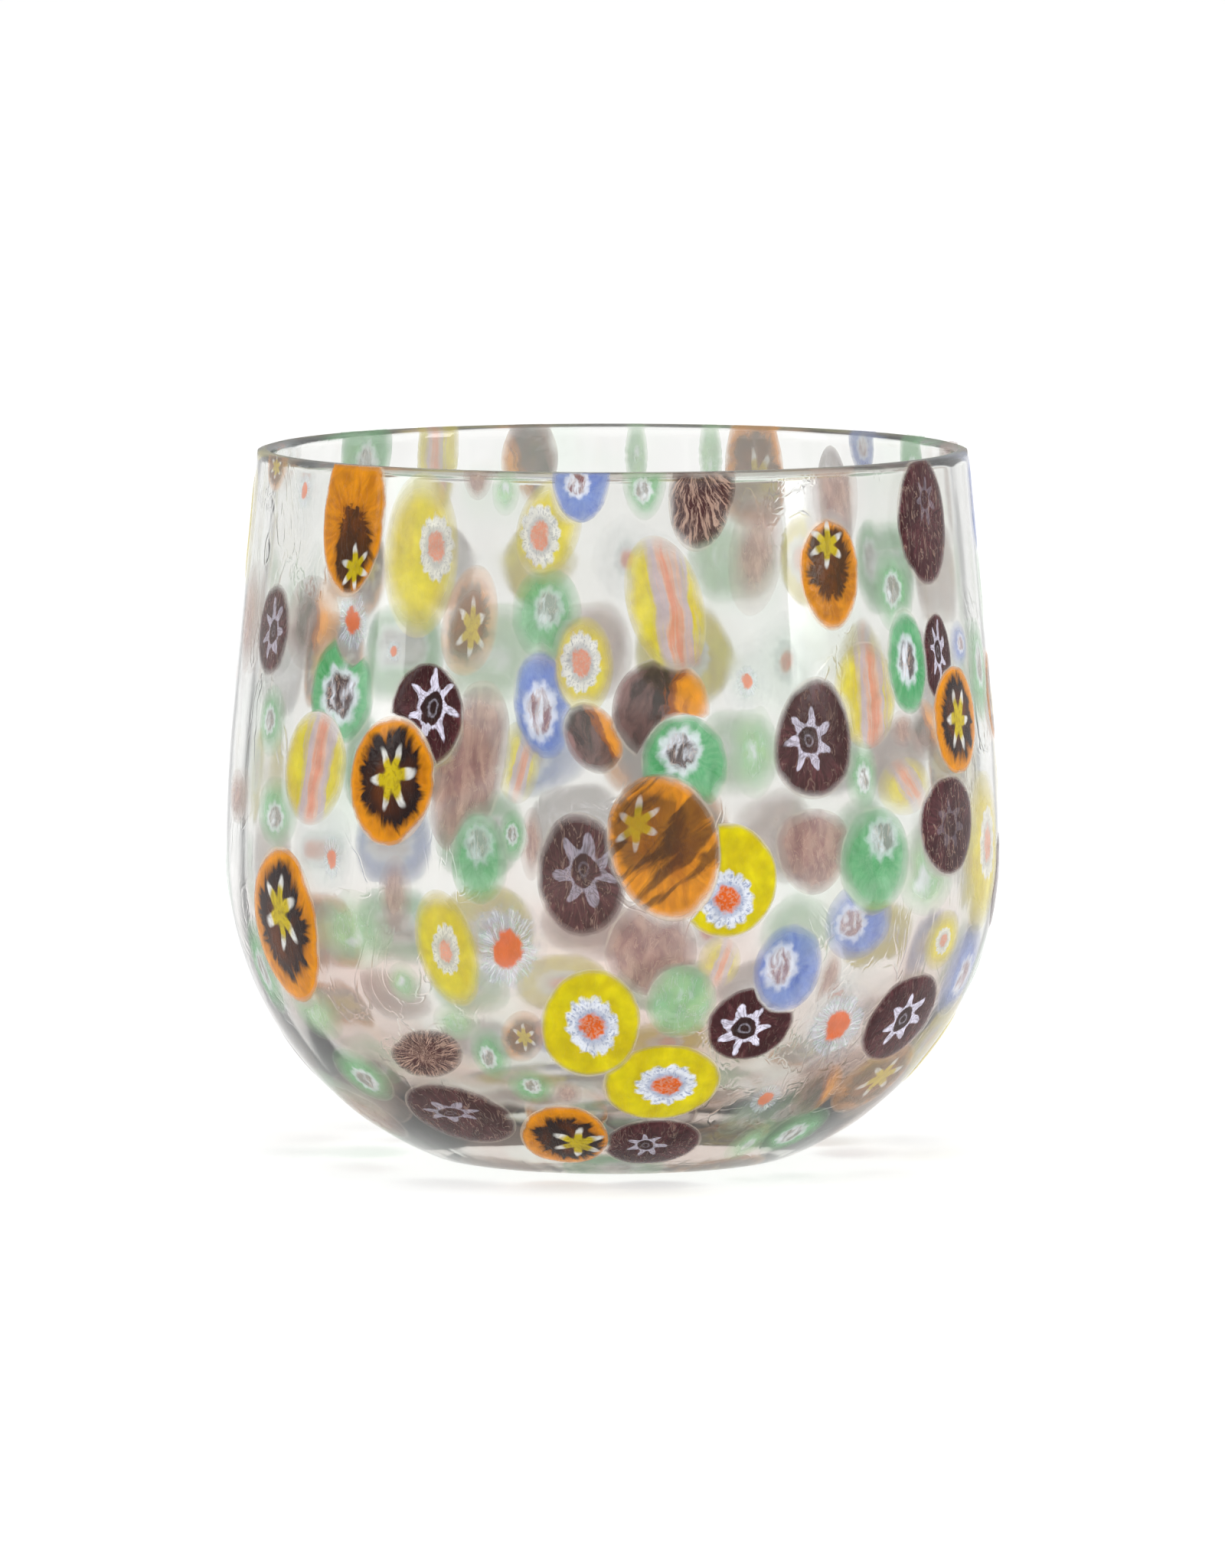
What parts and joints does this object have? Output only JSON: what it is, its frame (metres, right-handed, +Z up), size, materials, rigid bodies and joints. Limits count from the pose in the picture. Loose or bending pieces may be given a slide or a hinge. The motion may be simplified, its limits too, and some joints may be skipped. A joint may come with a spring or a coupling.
{
  "type": "art glass bowl",
  "caption": "Blown clear glass bowl with a narrowed, cut and polished rim and slices of patterned cane fused flush into its outer wall.",
  "frame": {"origin": "middle of the foot, on the surface that the bowl stands on", "axes": "+Z up along the bowl's axis, -Y towards the side with the two amber stars, +X to its right"},
  "size_m": [0.12, 0.12, 0.11],
  "materials": {
    "amber_star_cane": "amber cane glass round a dark ring and a yellow star, fire polished",
    "amber_stripe_cane": "amber cane laid on its side, seen as stripes, fire polished",
    "aubergine_star_cane": "dark aubergine cane glass round a thin white star, faintly wrinkled",
    "blue_eye_cane": "translucent periwinkle cane glass round a white and aubergine core",
    "clear_flower_cane": "clear cane glass with white petals and a red-orange heart",
    "clear_glass": "clear blown glass, fire polished outside, rim cut and polished",
    "green_eye_cane": "translucent emerald cane glass round a white and aubergine core",
    "jade_cane": "thin translucent pale green cane glass",
    "mauve_cane": "thin translucent mauve cane glass with fine wrinkles",
    "yellow_flower_cane": "yellow cane glass round pale petals and an orange heart, fire polished",
    "yellow_stripe_cane": "yellow cane laid on its side, seen as stripes, fire polished"
  },
  "bodies": {
    "root": {"amber_star_murrina_01": "amber_star_cane", "amber_star_murrina_02": "amber_star_cane", "amber_star_murrina_03": "amber_star_cane", "amber_star_murrina_04": "amber_star_cane", "amber_star_murrina_05": "amber_star_cane", "amber_star_murrina_06": "amber_star_cane", "amber_star_murrina_07": "amber_star_cane", "amber_star_murrine_group": "amber_star_cane", "amber_stripe_murrina_01": "amber_stripe_cane", "amber_stripe_murrina_02": "amber_stripe_cane", "amber_stripe_murrine_group": "amber_stripe_cane", "aubergine_star_murrina_01": "aubergine_star_cane", "aubergine_star_murrina_02": "aubergine_star_cane", "aubergine_star_murrina_03": "aubergine_star_cane", "aubergine_star_murrina_04": "aubergine_star_cane", "aubergine_star_murrina_05": "aubergine_star_cane", "aubergine_star_murrina_06": "aubergine_star_cane", "aubergine_star_murrina_07": "aubergine_star_cane", "aubergine_star_murrina_08": "aubergine_star_cane", "aubergine_star_murrina_09": "aubergine_star_cane", "aubergine_star_murrina_10": "aubergine_star_cane", "aubergine_star_murrina_11": "aubergine_star_cane", "aubergine_star_murrine_group": "aubergine_star_cane", "blue_eye_murrina_01": "blue_eye_cane", "blue_eye_murrina_02": "blue_eye_cane", "blue_eye_murrina_03": "blue_eye_cane", "blue_eye_murrina_04": "blue_eye_cane", "blue_eye_murrine_group": "blue_eye_cane", "clear_flower_murrina_01": "clear_flower_cane", "clear_flower_murrina_02": "clear_flower_cane", "clear_flower_murrina_03": "clear_flower_cane", "clear_flower_murrine_group": "clear_flower_cane", "clear_glass_bowl": "clear_glass", "green_eye_murrina_01": "green_eye_cane", "green_eye_murrina_02": "green_eye_cane", "green_eye_murrina_03": "green_eye_cane", "green_eye_murrina_04": "green_eye_cane", "green_eye_murrina_05": "green_eye_cane", "green_eye_murrina_06": "green_eye_cane", "green_eye_murrine_group": "green_eye_cane", "jade_murrina_01": "jade_cane", "jade_murrine_group": "jade_cane", "mauve_murrina_01": "mauve_cane", "mauve_murrina_02": "mauve_cane", "mauve_murrina_03": "mauve_cane", "mauve_murrina_04": "mauve_cane", "mauve_murrina_05": "mauve_cane", "mauve_murrine_group": "mauve_cane", "yellow_flower_murrina_01": "yellow_flower_cane", "yellow_flower_murrina_02": "yellow_flower_cane", "yellow_flower_murrina_03": "yellow_flower_cane", "yellow_flower_murrina_04": "yellow_flower_cane", "yellow_flower_murrina_05": "yellow_flower_cane", "yellow_flower_murrina_06": "yellow_flower_cane", "yellow_flower_murrina_07": "yellow_flower_cane", "yellow_flower_murrine_group": "yellow_flower_cane", "yellow_stripe_murrina_01": "yellow_stripe_cane", "yellow_stripe_murrina_02": "yellow_stripe_cane", "yellow_stripe_murrina_03": "yellow_stripe_cane", "yellow_stripe_murrine_group": "yellow_stripe_cane"}
  },
  "joints": []
}
